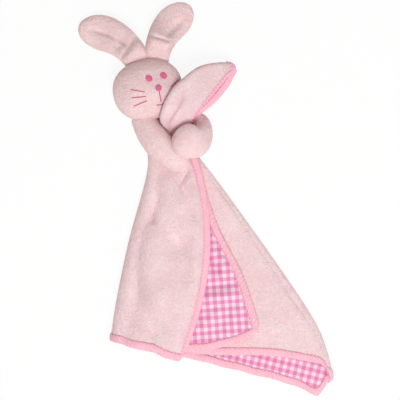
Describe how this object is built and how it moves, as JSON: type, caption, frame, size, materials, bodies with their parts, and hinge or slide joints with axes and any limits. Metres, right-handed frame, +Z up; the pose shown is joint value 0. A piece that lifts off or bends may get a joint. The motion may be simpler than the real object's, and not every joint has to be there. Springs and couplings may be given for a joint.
{
  "type": "plush rabbit comforter toy",
  "caption": "Stuffed plush rabbit head with floppy ears and two arms on a folded two-ply comfort blanket for puppies; it lies on its back and hugs a corner of the blanket.",
  "frame": {"origin": "on the table, on the flat underside of the folded blanket below its middle", "axes": "+Z up from the table, out of the rabbit's face; +Y from the hem to the ears; +X to the side where the blanket fans out"},
  "size_m": [0.2257, 0.3462, 0.0502],
  "materials": {
    "velour": "short-pile pale pink velour",
    "gingham": "pink and white gingham cotton",
    "binding": "pink satin-look bias binding",
    "hot_pink_thread": "satin-stitch embroidery",
    "dusky_thread": "stem-stitch embroidery",
    "wadding": "white polyester fibre filling"
  },
  "bodies": {
    "blanket": {"blanket_outer": "velour", "blanket_lining": "gingham", "blanket_binding": "binding", "blanket_neck_gather": "velour", "corner_outer": "velour", "corner_lining": "gingham", "corner_binding": "binding", "arm_right_upper_cover": "velour", "arm_right_upper_filling": "wadding"},
    "head": {"head_face_panel": "velour", "head_back_panel": "velour", "head_filling": "wadding", "eye_left": "hot_pink_thread", "eye_right": "hot_pink_thread", "nose": "hot_pink_thread", "mouth_stem": "dusky_thread", "mouth_smile": "dusky_thread", "whisker_left_1": "dusky_thread", "whisker_left_2": "dusky_thread", "whisker_left_3": "dusky_thread", "whisker_right_1": "dusky_thread", "whisker_right_2": "dusky_thread", "whisker_right_3": "dusky_thread"},
    "ear_left": {"ear_left_front": "velour", "ear_left_back": "velour", "ear_left_wadding": "wadding"},
    "ear_right": {"ear_right_front": "velour", "ear_right_back": "velour", "ear_right_wadding": "wadding"},
    "arm_left": {"arm_left_cover": "velour", "arm_left_filling": "wadding"},
    "arm_right": {"arm_right_cover": "velour", "arm_right_filling": "wadding"}
  },
  "joints": [
    {"name": "head_tilt", "type": "hinge", "parent": "blanket", "child": "head", "pos_m": [-0.0505, 0.0695, 0.015], "axis": [0, 0, 1], "range_deg": [0, 13]},
    {"name": "ear_left_fold", "type": "hinge", "parent": "head", "child": "ear_left", "pos_m": [-0.0597, 0.1222, 0.0235], "axis": [0.8517, 0.524, 0], "range_deg": [0, 75]},
    {"name": "ear_right_fold", "type": "hinge", "parent": "head", "child": "ear_right", "pos_m": [-0.0435, 0.1225, 0.0235], "axis": [0.9959, -0.0906, 0], "range_deg": [0, 75]},
    {"name": "arm_left_swing", "type": "hinge", "parent": "blanket", "child": "arm_left", "pos_m": [-0.062, 0.066, 0.018], "axis": [-0.3725, -0.4686, -0.801], "range_deg": [0, 52]},
    {"name": "arm_right_swing", "type": "hinge", "parent": "blanket", "child": "arm_right", "pos_m": [0.007, 0.055, 0.0275], "axis": [0, 1, 0], "range_deg": [0, 80]}
  ]
}
